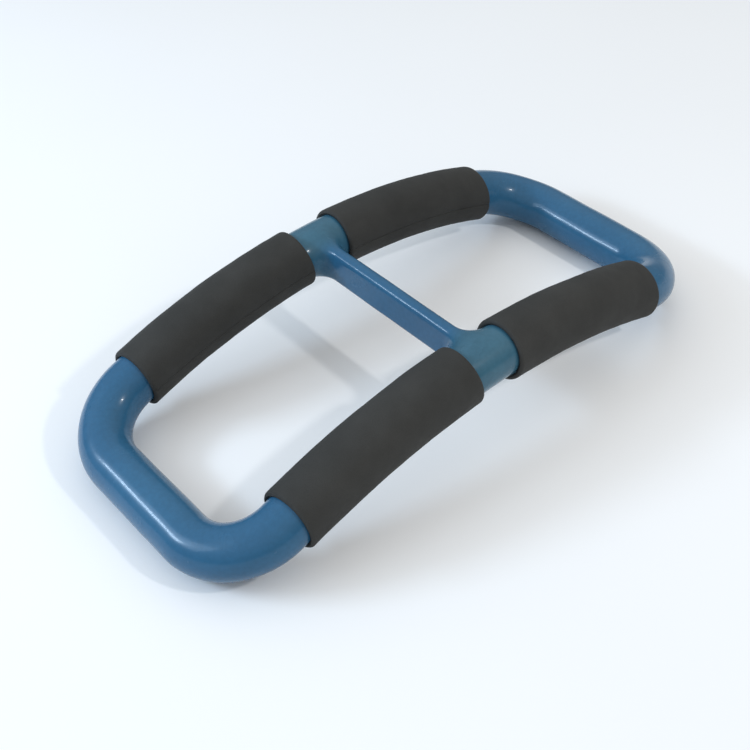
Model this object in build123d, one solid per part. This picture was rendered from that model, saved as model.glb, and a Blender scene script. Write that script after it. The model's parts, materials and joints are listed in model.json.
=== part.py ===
from build123d import *
from math import asin, cos, degrees, radians, sin
import os

# Arched hand-grip exercise frame: a closed loop of coated steel tube with a flat bar
# across its middle and four foam grips on its two long sides.
# Frame: origin on the floor under the centre, +X along the length, +Y to the rear, +Z up.

# ---- driving dimensions, millimetres ----
TUBE_OD = 25.0            # steel tube, outside
TUBE_WALL = 1.5
COAT = 1.5                # thickness of the dipped vinyl skin
SIDE_SPACING = 133.0      # between the centrelines of the two long sides
SIDE_ARC = 131.7          # centreline of a long side, from its middle to the corner bend
ARCH_RADIUS = 365.0       # the long sides arch upwards on this radius
BEND_RADIUS = 35.5        # centreline radius of the four corner bends

SPIGOT_LENGTH = 60.0      # stub of tube inside each butt joint
SPIGOT_WALL = 1.5
ROOT_GAP = 1.0            # gap between the tube ends, filled by the butt weld
CROWN_WIDTH = 4.0         # butt weld, outside the tube
CROWN_HEIGHT = 0.6

BAR_THICKNESS = 5.0       # flat bar across the middle
BAR_HEIGHT = 18.5
BAR_DROP = 1.0            # centre of the bar below the centre of the tube
BEAD_LEG = 3.5            # fillet welds between the bar and the tubes
BEAD_ROOT = 0.5           # depth of the fillet weld's blank inside the tube, trimmed off

WEB_EDGE = 2.5            # rounding of the coated bar's long edges
WEB_FLARE = 8.0           # radius on which the coat widens from the bar into the tubes
WEB_ROOT = 8.0            # depth of the flared web inside the coated tube

GRIP_WALL = 3.0           # foam thickness
GRIP_START = 13.0         # arc from the middle of the side to the grip's inner mouth
GRIP_LENGTH = 115.0       # along the arc
OUTER_LEAN = 12.0         # degrees off square: unstretched foam reaches further along the
INNER_LEAN = 3.0          # underside of the arch than along its top, at both mouths
GRIP_EDGE = 1.5           # rounding of the mouths
SLIT_WIDTH = 0.4          # lengthwise slit on the side that faces the middle

# ---- sizes that follow from them ----
TUBE_R = TUBE_OD / 2
BORE_R = TUBE_R - TUBE_WALL
COAT_R = TUBE_R + COAT
GRIP_R = COAT_R + GRIP_WALL
SIDE_Y = SIDE_SPACING / 2
ARCH_TURN = SIDE_ARC / ARCH_RADIUS    # radians, from the middle to the corner bend
APEX_Z = COAT_R + ARCH_RADIUS * (1 - cos(ARCH_TURN)) + BEND_RADIUS * sin(ARCH_TURN)
BAR_Z = APEX_Z - BAR_DROP
WEB_X = BAR_THICKNESS / 2 + COAT
WEB_HEIGHT = BAR_HEIGHT + 2 * COAT


def side_point(arc, y):
    """Point on a long side's centreline, a given arc away from its middle."""
    turn = arc / ARCH_RADIUS
    return Vector(ARCH_RADIUS * sin(turn), y, APEX_Z - ARCH_RADIUS * (1 - cos(turn)))


def side_path(start, end, y):
    """Stretch of a long side's centreline."""
    return ThreePointArc(side_point(start, y), side_point((start + end) / 2, y), side_point(end, y))


def corner_path(side):
    """Quarter bend from a long side to the +X end bar, in the plane that the side ends in."""
    ahead = Vector(cos(ARCH_TURN), 0, -sin(ARCH_TURN)) * BEND_RADIUS
    inward = Vector(0, -side * BEND_RADIUS, 0)
    start = side_point(SIDE_ARC, side * SIDE_Y)
    middle = start + ahead * sin(radians(45)) + inward * (1 - cos(radians(45)))
    return ThreePointArc(start, middle, start + ahead + inward)


def along(path, outer, inner=0):
    """Round bar, or tube if inner is given, along a path."""
    section = Circle(outer) - Circle(inner) if inner else Circle(outer)
    return sweep(Plane(origin=path @ 0, z_dir=path % 0) * section, path)


def bow(start, outer, inner=0):
    """The +X half of the frame, from an arc away from the middle of its sides."""
    front, rear = corner_path(-1), corner_path(1)
    paths = [front, rear, Line(front @ 1, rear @ 1)]
    paths += [side_path(start, SIDE_ARC, side * SIDE_Y) for side in (-1, 1)]
    half = along(paths[0], outer, inner)
    for path in paths[1:]:
        half += along(path, outer, inner)
    return half


def loop(radius):
    """Round bar along the whole centreline of the frame."""
    half = bow(0, radius)
    return half + mirror(half, about=Plane.YZ)


def end_bow(end):
    """U-bent steel tube: half of the frame."""
    tube = bow(ROOT_GAP / 2, TUBE_R, BORE_R)
    return tube if end > 0 else mirror(tube, about=Plane.YZ)


def joining_spigot(side):
    """Stub of smaller tube inside the two butted tube ends."""
    half = SPIGOT_LENGTH / 2
    return along(side_path(-half, half, side * SIDE_Y), BORE_R, BORE_R - SPIGOT_WALL)


def butt_weld(side):
    """Ring of weld metal in the root gap, with a low crown round the tube."""
    root, crown = ROOT_GAP / 2, CROWN_WIDTH / 2
    y = side * SIDE_Y
    ring = along(side_path(-root, root, y), TUBE_R, BORE_R)
    return ring + along(side_path(-crown, crown, y), TUBE_R + CROWN_HEIGHT, TUBE_R)


def crossbar(tubes, butt_welds):
    """Flat bar between the long sides, its ends coped to the tubes and butt welds."""
    blank = Pos(0, 0, BAR_Z) * Box(BAR_THICKNESS, SIDE_SPACING, BAR_HEIGHT)
    return blank - tubes - butt_welds


def crossbar_weld(side, tubes):
    """Fillet welds up both faces of the bar at one of its ends."""
    face_x, toe_x = BAR_THICKNESS / 2, BAR_THICKNESS / 2 + BEAD_LEG
    inner, outer = TUBE_R - BEAD_ROOT, TUBE_R + BEAD_LEG
    outline = Polyline((face_x, inner), (toe_x, inner), (toe_x, TUBE_R), (face_x, outer), close=True)
    top = degrees(asin((BAR_HEIGHT / 2 - BAR_DROP) / outer))
    bottom = degrees(asin((BAR_HEIGHT / 2 + BAR_DROP) / outer))
    bead = revolve(Rot(-bottom, 0, 0) * make_face(outline), Axis.X, top + bottom)
    beads = bead + mirror(bead, about=Plane.YZ)
    if side > 0:
        beads = mirror(beads, about=Plane.XZ)
    return Pos(0, side * SIDE_Y, APEX_Z) * beads - tubes


def flared_web():
    """Coated bar: straight in the middle, widening on an arc into the tube at each end."""
    face_y = SIDE_Y - COAT_R
    root_y = face_y + WEB_ROOT
    wide_x = WEB_X + WEB_FLARE
    diagonal = WEB_FLARE * sin(radians(45))
    middle = (wide_x - diagonal, face_y - WEB_FLARE + diagonal)
    quarter = Line((WEB_X, 0), (WEB_X, face_y - WEB_FLARE))
    quarter += ThreePointArc((WEB_X, face_y - WEB_FLARE), middle, (wide_x, face_y))
    quarter += Polyline((wide_x, face_y), (wide_x, root_y), (0, root_y))
    half = quarter + mirror(quarter, about=Plane.YZ)
    outline = make_face(half + mirror(half, about=Plane.XZ))
    web = Pos(0, 0, BAR_Z - WEB_HEIGHT / 2) * extrude(outline, WEB_HEIGHT)
    level = web.edges().group_by(Axis.Z)
    rounded = [edge for edge in level[0] + level[-1] if abs(edge.center().Y) < face_y]
    return fillet(rounded, WEB_EDGE)


def vinyl_coat(steel):
    """One continuous skin over the welded steel frame."""
    return loop(COAT_R) + flared_web() - steel


def mouth_plane(arc, lean):
    """Cut across the rear side, leaning by some degrees from square to its centreline."""
    slope = arc / ARCH_RADIUS - radians(lean)
    return Plane(origin=side_point(arc, SIDE_Y), z_dir=(cos(slope), 0, -sin(slope)))


def foam_sleeve():
    """Rear right grip, slit along the side that faces the middle of the frame."""
    grip_end = GRIP_START + GRIP_LENGTH
    path = side_path(GRIP_START - GRIP_WALL, grip_end + 2 * GRIP_WALL, SIDE_Y)
    sleeve = split(along(path, GRIP_R), mouth_plane(grip_end, OUTER_LEAN), keep=Keep.BOTTOM)
    sleeve = split(sleeve, mouth_plane(GRIP_START, -INNER_LEAN), keep=Keep.TOP)
    mouths = [edge for edge in sleeve.edges() if edge.length > 2 * GRIP_R and edge.is_closed]
    sleeve = fillet(mouths, GRIP_EDGE) - along(path, COAT_R)
    start = Plane(origin=path @ 0, x_dir=(0, -1, 0), z_dir=path % 0)
    slit = start * Pos((COAT_R + GRIP_R) / 2, 0) * Rectangle(2 * GRIP_WALL, SLIT_WIDTH)
    return sleeve - sweep(slit, path)


def grip(sleeve, side, end):
    """The foam sleeve on one half of a long side."""
    placed = sleeve if side > 0 else mirror(sleeve, about=Plane.XZ)
    return placed if end > 0 else mirror(placed, about=Plane.YZ)


SIDES = {"front": -1, "rear": 1}
ENDS = {"left": -1, "right": 1}

tubes = loop(TUBE_R)
welds = {name: butt_weld(side) for name, side in SIDES.items()}
parts = {f"end_bow_{name}": end_bow(end) for name, end in ENDS.items()}
parts["crossbar"] = crossbar(tubes, welds["front"] + welds["rear"])
for name, side in SIDES.items():
    parts[f"joining_spigot_{name}"] = joining_spigot(side)
    parts[f"butt_weld_{name}"] = welds[name]
    parts[f"crossbar_weld_{name}"] = crossbar_weld(side, tubes)
steel = tubes
for name in ("butt_weld_front", "butt_weld_rear", "crossbar", "crossbar_weld_front", "crossbar_weld_rear"):
    steel += parts[name]
parts["vinyl_coat"] = vinyl_coat(steel)
sleeve = foam_sleeve()
for side_name, side in SIDES.items():
    for end_name, end in ENDS.items():
        parts[f"{side_name}_{end_name}_grip"] = grip(sleeve, side, end)

os.makedirs("parts", exist_ok=True)
for name, shape in parts.items():
    shape.label = name
    export_step(shape, f"parts/{name}.step")
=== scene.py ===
import json
from math import cos, pi, radians, sin, tan, tau

import bmesh
import bpy
import numpy as np
from mathutils import Matrix, Vector


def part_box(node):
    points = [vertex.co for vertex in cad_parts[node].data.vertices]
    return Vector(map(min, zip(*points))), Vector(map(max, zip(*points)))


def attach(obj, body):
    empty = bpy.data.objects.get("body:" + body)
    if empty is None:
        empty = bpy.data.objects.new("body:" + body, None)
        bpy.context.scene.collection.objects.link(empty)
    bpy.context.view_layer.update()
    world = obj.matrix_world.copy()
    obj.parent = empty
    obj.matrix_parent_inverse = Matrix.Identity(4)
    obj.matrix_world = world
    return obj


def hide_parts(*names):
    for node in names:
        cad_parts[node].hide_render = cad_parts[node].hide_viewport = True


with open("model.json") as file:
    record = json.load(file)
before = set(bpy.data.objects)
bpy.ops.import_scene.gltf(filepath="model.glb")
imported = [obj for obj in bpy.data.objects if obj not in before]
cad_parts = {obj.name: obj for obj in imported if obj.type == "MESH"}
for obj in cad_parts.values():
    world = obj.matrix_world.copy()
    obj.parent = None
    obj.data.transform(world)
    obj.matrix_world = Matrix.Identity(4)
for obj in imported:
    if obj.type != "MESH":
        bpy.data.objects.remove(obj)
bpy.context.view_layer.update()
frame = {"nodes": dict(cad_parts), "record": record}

# Everything is in metres, in the frame of the CAD model: +X along the frame, +Y to the rear, +Z up.
MM = 0.001

# ---------------------------------------------------------------- sizes
MOUNTS = {mount["name"]: mount for mount in frame["record"]["mounts"]}
COAT_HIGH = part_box("vinyl_coat")[1]
TUBE_R = MOUNTS["right_end_bar"]["dims"]["r_mm"] * MM    # coated tube
SIDE_Y = COAT_HIGH.y - TUBE_R                            # centreline of a long side
APEX_Z = COAT_HIGH.z - TUBE_R                            # its crown
GRIP_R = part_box("rear_right_grip")[1].y - SIDE_Y         # outside of the foam

ARCH_RADIUS = 365 * MM      # the long sides arch on this radius
SIDE_ARC = 131.7 * MM       # along a side, from its middle to the corner bend
BEND_RADIUS = 35.5 * MM
ARCH_TURN = SIDE_ARC / ARCH_RADIUS

WEB_X = MOUNTS["crossbar_right_face"]["pos_m"][0]        # half thickness of the coated crossbar
WEB_Z = MOUNTS["crossbar_right_face"]["pos_m"][2]
WEB_HALF_HEIGHT = 10.75 * MM
WEB_EDGE = 3.7 * MM         # rounding of the crossbar's edges
WEB_ROOT = 7 * MM           # the crossbar stops this far short of the tube's centreline
WEB_BLEND = 10 * MM         # reach of the fillet between crossbar and tube
COAT_WAVE = 0.05 * MM       # unevenness of the dipped coat
COAT_WAVE_LENGTH = 28 * MM
COAT_SEED = 3
COAT_VOXEL = 2.2 * MM       # the coat's quads before they are subdivided
ROUGH_STEP = 6 * MM         # spacing of the rough tube's rings, and how many points each has
ROUGH_AROUND = 24
CORNER_RINGS = 10

GRIP_START = 13 * MM        # along a side, from its middle
GRIP_LENGTH = {"left": 115.4 * MM, "right": 115 * MM}
OUTER_LEAN = 14             # degrees: the foam reaches further along the underside of the arch
INNER_LEAN = {"left": 5, "right": 1}
OUTER_SKEW = {"left": 6, "right": 0}    # degrees: it also reaches further along its rear side
GRIP_BORE_GAP = 0.12 * MM   # clear of the uneven coat
MOUTH_ROUND = 1.7 * MM      # rounding of the foam's outer edge at a mouth
MOUTH_FLARE = 1.2 * MM      # bevel of its inner edge
MOUTH_MARGIN = 1 * MM       # past the rounding, before the sections are evenly spaced
SLIT_WIDTH = 0.25 * MM
SLIT_LIP = 0.30 * MM        # how far the foam dips towards the slit
SLIT_REACH = 1.1 * MM
FOAM_WAVE = 0.10 * MM       # slow unevenness of the foam, and the distance between its waves
FOAM_WAVE_LENGTH = 42 * MM
FOAM_LUMP = 0.035 * MM      # finer lumps
FOAM_LUMP_LENGTH = 7 * MM
FIRST_FOAM_SEED = 10
GRIP_RINGS = 74             # sections between the two mouths
MOUTH_RINGS = 8             # sections round the edge of each mouth
GRIP_AROUND = 120           # points round a section
SLIT_CROWDING = 0.4         # how much closer together those are beside the slit

WORN_X = (12 * MM, 22 * MM)     # the bare tube between two grips is duller: up to here, and gone by here
WORN_Y = (46 * MM, 56 * MM)     # it starts here, and is full from here

CAMERA_AIM = (-45.13 * MM, -37.27 * MM)     # beside the middle of the object, level with its crown
CAMERA_AZIMUTH = -39.187                    # degrees
CAMERA_ELEVATION = 43.168
CAMERA_ROLL = -2.724
CAMERA_DISTANCE = 577.66 * MM
CAMERA_LENS = 55.2                          # millimetres, on a 36 mm sensor

SIDES = {"front": -1, "rear": 1}
ENDS = {"left": -1, "right": 1}


# ---------------------------------------------------------------- shape of the coated frame
def arch_point(arc):
    """x and z of a long side's centreline, an arc away from its middle."""
    turn = arc / ARCH_RADIUS
    return ARCH_RADIUS * np.sin(turn), APEX_Z - ARCH_RADIUS * (1 - np.cos(turn))


def centreline_distance(points):
    """Distance to the closed centreline, which is symmetric end to end and side to side."""
    x, y, z = np.abs(points[:, 0]), np.abs(points[:, 1]), points[:, 2]
    turn = np.clip(np.arctan2(x, z - APEX_Z + ARCH_RADIUS), 0, ARCH_TURN)
    arch_x, arch_z = arch_point(turn * ARCH_RADIUS)
    to_side = np.sqrt((x - arch_x) ** 2 + (y - SIDE_Y) ** 2 + (z - arch_z) ** 2)
    # The corner and the end bar lie in the plane in which the side ends.
    end_x, end_z = arch_point(SIDE_ARC)
    ahead = (x - end_x) * cos(ARCH_TURN) - (z - end_z) * sin(ARCH_TURN)
    above = (x - end_x) * sin(ARCH_TURN) + (z - end_z) * cos(ARCH_TURN)
    across = y - (SIDE_Y - BEND_RADIUS)
    bend = np.clip(np.arctan2(ahead, across), 0, pi / 2)
    to_corner = np.sqrt(
        (ahead - BEND_RADIUS * np.sin(bend)) ** 2 + (across - BEND_RADIUS * np.cos(bend)) ** 2 + above**2
    )
    to_bar = np.sqrt((ahead - BEND_RADIUS) ** 2 + above**2 + np.maximum(across, 0) ** 2)
    return np.minimum(np.minimum(to_side, to_corner), to_bar)


def crossbar_distance(points):
    """Distance to the coated crossbar, a bar with rounded edges."""
    x = np.abs(points[:, 0]) - (WEB_X - WEB_EDGE)
    z = np.abs(points[:, 2] - WEB_Z) - (WEB_HALF_HEIGHT - WEB_EDGE)
    outside = np.hypot(np.maximum(x, 0), np.maximum(z, 0))
    inside = np.minimum(np.maximum(x, z), 0)
    return np.maximum(outside + inside - WEB_EDGE, np.abs(points[:, 1]) - (SIDE_Y - WEB_ROOT))


def wave(points, rng_seed, length, count=24):
    """Smooth random unevenness between about -1 and 1, with features of one length."""
    rng = np.random.default_rng(rng_seed)
    total = np.zeros(len(points))
    for _ in range(count):
        direction = rng.normal(size=3)
        direction /= np.linalg.norm(direction)
        frequency = tau / (length * rng.uniform(0.7, 1.6))
        total += np.sin(points @ direction * frequency + rng.uniform(0, tau))
    return total / np.sqrt(count)


def coat_field(points):
    """Negative inside the coat's outer surface: tube and crossbar with a smooth blend."""
    tube = centreline_distance(points) - TUBE_R
    bar = crossbar_distance(points)
    near = np.maximum(WEB_BLEND - np.abs(tube - bar), 0) / WEB_BLEND
    smooth = np.minimum(tube, bar) - near**2 * WEB_BLEND / 4
    return smooth + COAT_WAVE * wave(points, COAT_SEED, COAT_WAVE_LENGTH)


def field_gradient(field, points, step=0.05 * MM):
    """Slope of a field at each point, by small steps along each axis."""
    columns = []
    for axis in np.eye(3) * step:
        columns.append((field(points + axis) - field(points - axis)) / (2 * step))
    return np.stack(columns, axis=1)


def onto_surface(field, points, rounds=3):
    """Moves points along the field's slope until they lie on its surface."""
    for _ in range(rounds):
        slope = field_gradient(field, points)
        points = points - (field(points) / (slope**2).sum(1))[:, None] * slope
    return points


# ---------------------------------------------------------------- mesh tools
def new_object(name, points, faces):
    """A mesh object, linked to the scene."""
    mesh = bpy.data.meshes.new(name)
    mesh.from_pydata([tuple(p) for p in points], [], faces)
    mesh.update()
    obj = bpy.data.objects.new(name, mesh)
    bpy.context.scene.collection.objects.link(obj)
    return obj


def mesh_points(mesh):
    """The places of a mesh's vertices, one row each."""
    flat = np.empty(len(mesh.vertices) * 3)
    mesh.vertices.foreach_get("co", flat)
    return flat.reshape(-1, 3)


def set_mesh_points(mesh, points):
    """Moves a mesh's vertices to these places."""
    mesh.vertices.foreach_set("co", points.astype(np.float32).ravel())
    mesh.update()


def apply_modifier(obj, kind, **settings):
    """Gives an object the mesh that a modifier makes of it."""
    modifier = obj.modifiers.new(kind, kind)
    for key, value in settings.items():
        setattr(modifier, key, value)
    graph = bpy.context.evaluated_depsgraph_get()
    mesh = bpy.data.meshes.new_from_object(obj.evaluated_get(graph))
    obj.modifiers.clear()
    obj.data = mesh


def grid_faces(rows, columns, close_rows=False):
    """Quads over points laid out row by row, each row closed on itself."""
    faces = []
    for row in range(rows if close_rows else rows - 1):
        after = (row + 1) % rows
        for column in range(columns):
            beside = (column + 1) % columns
            here, there = row * columns, after * columns
            faces.append((here + column, here + beside, there + beside, there + column))
    return faces


def centreline_points():
    """Points round the whole closed centreline, with the direction at each."""
    quarter = []
    for arc in np.arange(0, SIDE_ARC, ROUGH_STEP):
        x, z = arch_point(arc)
        turn = arc / ARCH_RADIUS
        quarter.append(((x, SIDE_Y, z), (cos(turn), 0, -sin(turn))))
    end_x, end_z = arch_point(SIDE_ARC)
    for bend in np.linspace(0, pi / 2, CORNER_RINGS):
        ahead = BEND_RADIUS * sin(bend)
        y = SIDE_Y - BEND_RADIUS * (1 - cos(bend))
        place = (end_x + ahead * cos(ARCH_TURN), y, end_z - ahead * sin(ARCH_TURN))
        quarter.append((place, (cos(bend) * cos(ARCH_TURN), -sin(bend), -cos(bend) * sin(ARCH_TURN))))
    bar_x, _, bar_z = place
    for y in np.arange(SIDE_Y - BEND_RADIUS - ROUGH_STEP, 0, -ROUGH_STEP):
        quarter.append(((bar_x, y, bar_z), (0, -1, 0)))
    flip_y = [((x, -y, z), (-dx, dy, -dz)) for (x, y, z), (dx, dy, dz) in reversed(quarter)]
    half = quarter + flip_y
    flip_x = [((-x, y, z), (dx, -dy, -dz)) for (x, y, z), (dx, dy, dz) in reversed(half[1:-1])]
    return half + flip_x


def rough_frame():
    """A coarse closed tube and a box through it, as one mesh to be remeshed."""
    points = []
    route = centreline_points()
    for place, direction in route:
        direction = Vector(direction).normalized()
        side = direction.cross(Vector((0, 0, 1))).normalized()
        top = side.cross(direction)
        for angle in np.arange(ROUGH_AROUND) / ROUGH_AROUND * tau:
            points.append(Vector(place) + (side * cos(angle) + top * sin(angle)) * TUBE_R)
    tube = new_object("rough_frame", points, grid_faces(len(route), ROUGH_AROUND, close_rows=True))
    mesh = bmesh.new()
    mesh.from_mesh(tube.data)
    size = (2 * WEB_X, 2 * (SIDE_Y - WEB_ROOT), 2 * WEB_HALF_HEIGHT)
    place = Matrix.Translation((0, 0, WEB_Z)) @ Matrix.Diagonal((*size, 1))
    bmesh.ops.create_cube(mesh, size=1, matrix=place)
    bmesh.ops.recalc_face_normals(mesh, faces=mesh.faces)
    mesh.to_mesh(tube.data)
    mesh.free()
    return tube


def relax(mesh, field, rounds, pull=0.6):
    """Evens out the quads, keeping every vertex on the surface."""
    edges = np.empty(len(mesh.edges) * 2, dtype=np.int64)
    mesh.edges.foreach_get("vertices", edges)
    start, end = edges.reshape(-1, 2).T
    points = mesh_points(mesh)
    count = np.bincount(edges, minlength=len(points))[:, None]
    for _ in range(rounds):
        total = np.zeros_like(points)
        np.add.at(total, start, points[end])
        np.add.at(total, end, points[start])
        points = onto_surface(field, points + pull * (total / count - points), rounds=1)
    set_mesh_points(mesh, onto_surface(field, points))


def coat_skin():
    """The glossy coat over tube and crossbar, one unbroken skin."""
    skin = rough_frame()
    skin.name = "dipped_coat"
    apply_modifier(skin, "REMESH", mode="VOXEL", voxel_size=COAT_VOXEL)
    relax(skin.data, coat_field, rounds=12)
    apply_modifier(skin, "SUBSURF", levels=1, render_levels=1)
    points = onto_surface(coat_field, mesh_points(skin.data))
    set_mesh_points(skin.data, points)
    skin.data.shade_smooth()
    normals = field_gradient(coat_field, points)
    normals /= np.linalg.norm(normals, axis=1)[:, None]
    skin.data.normals_split_custom_set_from_vertices(normals.astype(np.float32))
    return skin


# ---------------------------------------------------------------- foam grips
def grip_sections(length):
    """Along a grip: arc from its start, outer radius and inner radius, with rounded mouths."""
    round_steps = np.sin(np.linspace(0, pi / 2, MOUTH_RINGS)) ** 2
    near = np.concatenate([round_steps * MOUTH_ROUND, [MOUTH_ROUND + MOUTH_MARGIN]])
    middle = np.linspace(near[-1], length - near[-1], GRIP_RINGS)[1:-1]
    arcs = np.concatenate([near, middle, (length - near)[::-1]])
    inset = np.minimum(arcs, length - arcs)
    outer_miss = 1 - np.clip(inset / MOUTH_ROUND, 0, 1)
    inner_miss = 1 - np.clip(inset / MOUTH_FLARE, 0, 1)
    outer = GRIP_R - MOUTH_ROUND * (1 - np.sqrt(1 - outer_miss**2))
    inner = TUBE_R + GRIP_BORE_GAP + MOUTH_FLARE * (1 - np.sqrt(1 - inner_miss**2))
    return arcs, outer, inner


def slit_sweep():
    """Angles round a grip's section, from one lip of the slit to the other."""
    half_slit = SLIT_WIDTH / 2 / GRIP_R
    even = np.linspace(0, 1, GRIP_AROUND)
    crowded = even - SLIT_CROWDING * np.sin(tau * even) / tau
    return half_slit + (tau - 2 * half_slit) * crowded


def sleeve_surface(arcs, sweep, radius, side, end_name):
    """Points of a sleeve's outside or inside, with leaning mouths; radius has a row for each section."""
    length = GRIP_LENGTH[end_name]
    leans = (tan(radians(INNER_LEAN[end_name])), -tan(radians(OUTER_LEAN)))
    lean = np.interp(arcs, (0, length), leans)[:, None]
    skew = np.interp(arcs, (0, length), (0, tan(radians(OUTER_SKEW[end_name]))))[:, None]
    up = np.sin(sweep)[None, :] * radius
    across = -side * np.cos(sweep)[None, :] * radius
    arc = GRIP_START + arcs[:, None] + lean * up + skew * across
    centre_x, centre_z = arch_point(arc)
    x = ENDS[end_name] * (centre_x + up * np.sin(arc / ARCH_RADIUS))
    y = side * SIDE_Y + across
    z = centre_z + up * np.cos(arc / ARCH_RADIUS)
    return np.stack([x, y, z], axis=2)


def roughened(outside, inside, rng_seed):
    """The sleeve's outside, moved in and out by slow waves and finer lumps."""
    away = outside - inside
    away /= np.linalg.norm(away, axis=2)[:, :, None]
    flat = outside.reshape(-1, 3)
    uneven = FOAM_WAVE * wave(flat, rng_seed, FOAM_WAVE_LENGTH)
    uneven += FOAM_LUMP * wave(flat, rng_seed + 1, FOAM_LUMP_LENGTH)
    return outside + away * uneven.reshape(outside.shape[:2])[:, :, None]


def sleeve_faces(rows, columns):
    """Quads between the sections' closed outlines, and across both mouths from outside to inside."""
    faces = grid_faces(rows, columns)
    last = (rows - 1) * columns
    for column in range(columns // 2 - 1):
        opposite = columns - 1 - column
        faces.append((column, opposite, opposite - 1, column + 1))
        faces.append((last + column, last + column + 1, last + opposite - 1, last + opposite))
    return faces


def foam_grip(name, side, end_name, rng_seed):
    """A slit foam sleeve, slightly uneven, on one half of a long side."""
    arcs, outer, inner = grip_sections(GRIP_LENGTH[end_name])
    sweep = slit_sweep()
    from_slit = np.minimum(sweep, tau - sweep) * GRIP_R
    lip = SLIT_LIP * np.exp(-((from_slit / SLIT_REACH) ** 2))
    outside = sleeve_surface(arcs, sweep, outer[:, None] - lip, side, end_name)
    inside = sleeve_surface(arcs, sweep, inner[:, None], side, end_name)
    outside = roughened(outside, inside, rng_seed)
    # Each section is one closed outline: round the outside, down the slit, back round the inside.
    outline = np.concatenate([outside, inside[:, ::-1]], axis=1)
    grip = new_object(name, outline.reshape(-1, 3), sleeve_faces(*outline.shape[:2]))
    mesh = bmesh.new()
    mesh.from_mesh(grip.data)
    bmesh.ops.recalc_face_normals(mesh, faces=mesh.faces)
    mesh.to_mesh(grip.data)
    mesh.free()
    grip.data.shade_smooth()
    return grip


# ---------------------------------------------------------------- materials
class Nodes:
    """A material's node tree, with short calls for the nodes used here."""

    def __init__(self, name):
        self.material = bpy.data.materials.new(name)
        self.material.use_nodes = True
        self.tree = self.material.node_tree
        self.shader = self.tree.nodes["Principled BSDF"]
        self.place = self.tree.nodes.new("ShaderNodeTexCoord").outputs["Object"]

    def noise(self, scale, detail):
        """Cloudy noise; scale is in features to the metre."""
        node = self.tree.nodes.new("ShaderNodeTexNoise")
        self.tree.links.new(self.place, node.inputs["Vector"])
        node.inputs["Scale"].default_value = scale
        node.inputs["Detail"].default_value = detail
        return node.outputs["Fac"]

    def cells(self, scale):
        """Round cells, darkest at their centres."""
        node = self.tree.nodes.new("ShaderNodeTexVoronoi")
        self.tree.links.new(self.place, node.inputs["Vector"])
        node.inputs["Scale"].default_value = scale
        return node.outputs["Distance"]

    def off_axis(self, axis):
        """Distance from the middle of the object along one axis, in metres."""
        split = self.tree.nodes.new("ShaderNodeSeparateXYZ")
        size = self.tree.nodes.new("ShaderNodeMath")
        size.operation = "ABSOLUTE"
        self.tree.links.new(self.place, split.inputs["Vector"])
        self.tree.links.new(split.outputs[axis], size.inputs[0])
        return size.outputs["Value"]

    def ramp(self, value, stops):
        """A colour ramp; stops are (position, colour or grey)."""
        node = self.tree.nodes.new("ShaderNodeValToRGB")
        self.tree.links.new(value, node.inputs["Fac"])
        for index, (position, colour) in enumerate(stops):
            elements = node.color_ramp.elements
            element = elements[index] if index < 2 else elements.new(position)
            element.position = position
            rgb = colour if isinstance(colour, tuple) else (colour,) * 3
            element.color = (*rgb, 1)
        return node.outputs["Color"]

    def blend(self, kind, factor, first, second):
        """Mixes two colours; the factor is a number or another node's output."""
        node = self.tree.nodes.new("ShaderNodeMix")
        node.data_type = "RGBA"
        node.blend_type = kind
        if isinstance(factor, float):
            node.inputs["Factor"].default_value = factor
        else:
            self.tree.links.new(factor, node.inputs["Factor"])
        self.tree.links.new(first, node.inputs["A"])
        self.tree.links.new(second, node.inputs["B"])
        return node.outputs["Result"]

    def bump(self, heights):
        """Stacked bumps; heights are (value, depth in metres)."""
        normal = None
        for value, depth in heights:
            node = self.tree.nodes.new("ShaderNodeBump")
            node.inputs["Distance"].default_value = depth
            node.inputs["Strength"].default_value = 1.0
            self.tree.links.new(value, node.inputs["Height"])
            if normal:
                self.tree.links.new(normal, node.inputs["Normal"])
            normal = node.outputs["Normal"]
        self.tree.links.new(normal, self.shader.inputs["Normal"])

    def link(self, value, socket):
        """Drives one of the shader's sockets from a node."""
        self.tree.links.new(value, self.shader.inputs[socket])

    def set(self, **sockets):
        """Fixes values on the shader's sockets, with _ for a space in their names."""
        for name, value in sockets.items():
            self.shader.inputs[name.replace("_", " ")].default_value = value


def blue_vinyl():
    """Glossy dipped vinyl: cloudy blue with faint orange peel, duller between two grips."""
    nodes = Nodes("blue_vinyl")
    cloud = nodes.ramp(nodes.noise(16, 3), [(0.3, (0.025, 0.107, 0.207)), (0.7, (0.034, 0.132, 0.243))])
    speck = nodes.ramp(nodes.noise(420, 2), [(0.35, 0.95), (0.65, 1.03)])
    # Hands and foam have dulled the bare stretch of tube between two grips.
    dull = nodes.ramp(nodes.noise(50, 3), [(0.3, (0.039, 0.121, 0.180)), (0.7, (0.050, 0.143, 0.206))])
    between = nodes.ramp(nodes.off_axis("X"), zip(WORN_X, (1.0, 0.0)))
    on_tube = nodes.ramp(nodes.off_axis("Y"), zip(WORN_Y, (0.0, 1.0)))
    worn = nodes.blend("MULTIPLY", 1.0, between, on_tube)
    colour = nodes.blend("MIX", worn, cloud, dull)
    nodes.link(nodes.blend("MULTIPLY", 1.0, colour, speck), "Base Color")
    nodes.link(nodes.ramp(nodes.noise(60, 4), [(0.3, 0.20), (0.75, 0.30)]), "Roughness")
    nodes.bump([(nodes.noise(70, 2), 0.10 * MM), (nodes.noise(650, 2), 0.006 * MM)])
    nodes.set(IOR=1.5, Specular_IOR_Level=0.22, Coat_Weight=0.15, Coat_Roughness=0.07, Coat_IOR=1.5)
    return nodes.material


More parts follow.
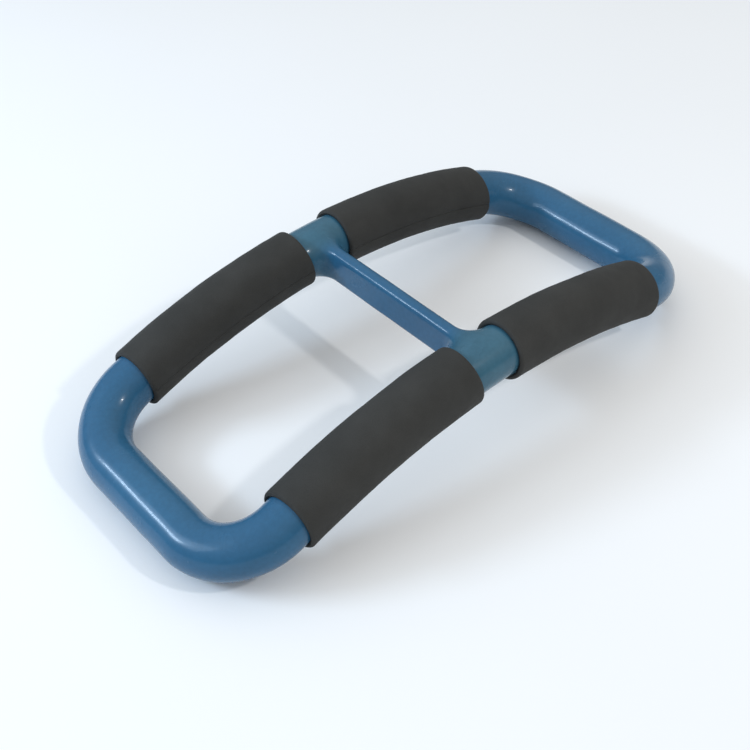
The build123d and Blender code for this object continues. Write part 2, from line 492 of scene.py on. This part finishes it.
def grip_foam():
    """Closed-cell foam rubber: charcoal, matt, with fine cells pitting its surface, shade painted into them,
    and slight mottling.
    """
    nodes = Nodes("grip_foam")
    cloud = nodes.ramp(nodes.noise(28, 4), [(0.3, (0.0335, 0.0335, 0.0313)), (0.7, (0.0434, 0.0430, 0.0402))])
    # Painted shade: the colour darkens towards the centres of the cells, which the cell bump below sinks into
    # pits.
    painted_pit_shade = nodes.ramp(nodes.cells(1700), [(0.05, 0.72), (0.45, 1.04)])
    nodes.link(nodes.blend("MULTIPLY", 0.55, cloud, painted_pit_shade), "Base Color")
    nodes.link(nodes.ramp(nodes.noise(90, 3), [(0.3, 0.74), (0.7, 0.90)]), "Roughness")
    nodes.bump([
        (nodes.noise(160, 3), 0.10 * MM),
        (nodes.noise(900, 3), 0.08 * MM),
        (nodes.cells(1700), 0.05 * MM),
    ])
    nodes.set(Specular_IOR_Level=0.3)
    return nodes.material


def tube_steel():
    """Bright drawn tube under the coat."""
    nodes = Nodes("tube_steel")
    nodes.link(nodes.ramp(nodes.noise(40, 4), [(0.3, 0.46), (0.7, 0.60)]), "Base Color")
    nodes.link(nodes.ramp(nodes.noise(240, 4), [(0.3, 0.30), (0.7, 0.46)]), "Roughness")
    nodes.bump([(nodes.noise(900, 3), 0.02 * MM)])
    nodes.set(Metallic=1.0)
    return nodes.material


def weld_metal():
    """Dull, rippled weld bead with heat tint."""
    nodes = Nodes("weld_metal")
    tint = [(0.3, (0.20, 0.19, 0.20)), (0.7, (0.38, 0.34, 0.30))]
    nodes.link(nodes.ramp(nodes.noise(300, 4), tint), "Base Color")
    nodes.link(nodes.ramp(nodes.noise(500, 3), [(0.3, 0.45), (0.7, 0.70)]), "Roughness")
    nodes.bump([(nodes.noise(600, 2), 0.15 * MM)])
    nodes.set(Metallic=1.0)
    return nodes.material


def pale_floor():
    """Matt, nearly white and faintly mottled."""
    nodes = Nodes("pale_floor")
    nodes.link(nodes.ramp(nodes.noise(3, 2), [(0.3, 0.92), (0.7, 0.94)]), "Base Color")
    nodes.set(Roughness=0.9, Specular_IOR_Level=0.1)
    return nodes.material


# ---------------------------------------------------------------- stage, light and camera
def floor():
    """A wide plain floor under the object."""
    reach = 6.0
    corners = [(-reach, -reach, 0), (reach, -reach, 0), (reach, reach, 0), (-reach, reach, 0)]
    plane = new_object("floor", corners, [(0, 1, 2, 3)])
    plane.data.materials.append(pale_floor())


def direction(azimuth, elevation):
    """Unit vector from the object; azimuth 0 is the front (-Y), 90 is the right (+X)."""
    a, e = radians(azimuth), radians(elevation)
    return Vector((sin(a) * cos(e), -cos(a) * cos(e), sin(e)))


def area_light(name, azimuth, elevation, distance, size, radiance, colour=(1, 1, 1)):
    """A soft box that faces the object; size is (width, height), radiance in W/m2/sr."""
    data = bpy.data.lights.new(name, "AREA")
    data.shape = "RECTANGLE"
    data.size, data.size_y = size
    data.energy = radiance * pi * size[0] * size[1]
    data.color = colour
    lamp = bpy.data.objects.new(name, data)
    towards = direction(azimuth, elevation)
    lamp.rotation_euler = towards.to_track_quat("Z", "Y").to_euler()
    lamp.location = Vector((0, 0, APEX_Z)) + towards * distance
    bpy.context.scene.collection.objects.link(lamp)


def dome():
    """Soft light from above, falling off towards the horizon, with a pale backdrop behind the floor."""
    world = bpy.data.worlds.new("studio")
    world.use_nodes = True
    tree = world.node_tree
    place = tree.nodes.new("ShaderNodeTexCoord")
    height = tree.nodes.new("ShaderNodeSeparateXYZ")
    ramp = tree.nodes.new("ShaderNodeValToRGB")
    rays = tree.nodes.new("ShaderNodeLightPath")
    backdrop = tree.nodes.new("ShaderNodeMix")
    backdrop.data_type = "RGBA"
    backdrop.inputs["B"].default_value = (0.80, 0.80, 0.80, 1)
    tree.links.new(place.outputs["Generated"], height.inputs["Vector"])
    tree.links.new(height.outputs["Z"], ramp.inputs["Fac"])
    tree.links.new(rays.outputs["Is Camera Ray"], backdrop.inputs["Factor"])
    tree.links.new(ramp.outputs["Color"], backdrop.inputs["A"])
    tree.links.new(backdrop.outputs["Result"], tree.nodes["Background"].inputs["Color"])
    low, high = ramp.color_ramp.elements
    low.position, low.color = 0.05, (0.16, 0.17, 0.18, 1)
    high.position, high.color = 0.75, (0.97, 0.99, 1.0, 1)
    tree.nodes["Background"].inputs["Strength"].default_value = 0.84
    bpy.context.scene.world = world


def lights():
    """A dome, a low window with a wide dim glow round it, and a small lamp."""
    dome()
    daylight = (0.62, 0.80, 1.0)
    area_light("window", -125.5, 27.5, distance=1.2, size=(0.35, 0.115), radiance=38, colour=daylight)
    area_light("window_glow", -120, 33, distance=1.25, size=(0.72, 0.42), radiance=3.6, colour=daylight)
    area_light("lamp", 24, 44.5, distance=1.3, size=(0.075, 0.075), radiance=190)


def camera():
    """Three-quarter view from the front left, a little rolled."""
    data = bpy.data.cameras.new("camera")
    data.sensor_width = 36
    data.lens = CAMERA_LENS
    aim = Vector((*CAMERA_AIM, APEX_Z))
    towards = direction(CAMERA_AZIMUTH, CAMERA_ELEVATION)
    right = Vector((-towards.y, towards.x, 0)).normalized()
    up = towards.cross(right)
    roll = Matrix.Rotation(radians(CAMERA_ROLL), 3, towards)
    axes = Matrix((roll @ right, roll @ up, towards)).transposed()
    view = bpy.data.objects.new("camera", data)
    view.matrix_world = Matrix.Translation(aim + towards * CAMERA_DISTANCE) @ axes.to_4x4()
    bpy.context.scene.collection.objects.link(view)
    bpy.context.scene.camera = view


# ---------------------------------------------------------------- the object
def paint_hidden_steel():
    """Gives the CAD pieces inside the coat their own metals."""
    steel, weld = tube_steel(), weld_metal()
    for name, node in frame["nodes"].items():
        if name == "vinyl_coat" or name.endswith("_grip"):
            continue
        node.data.materials.clear()
        node.data.materials.append(weld if "weld" in name else steel)


def place_coat():
    """The coat's detailed skin, in place of its CAD solid."""
    skin = coat_skin()
    skin.data.materials.append(blue_vinyl())
    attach(skin, "root")
    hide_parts("vinyl_coat")


def place_grips():
    """The four foam sleeves, each a little different, in place of their CAD solids."""
    foam = grip_foam()
    rng_seed = FIRST_FOAM_SEED
    for side_name, side in SIDES.items():
        for end_name in ENDS:
            grip = foam_grip(f"foam_{side_name}_{end_name}", side, end_name, rng_seed)
            grip.data.materials.append(foam)
            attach(grip, "root")
            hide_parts(f"{side_name}_{end_name}_grip")
            rng_seed += 2


camera()
lights()
floor()
paint_hidden_steel()
place_coat()
place_grips()
bpy.context.scene.view_settings.view_transform = "Standard"
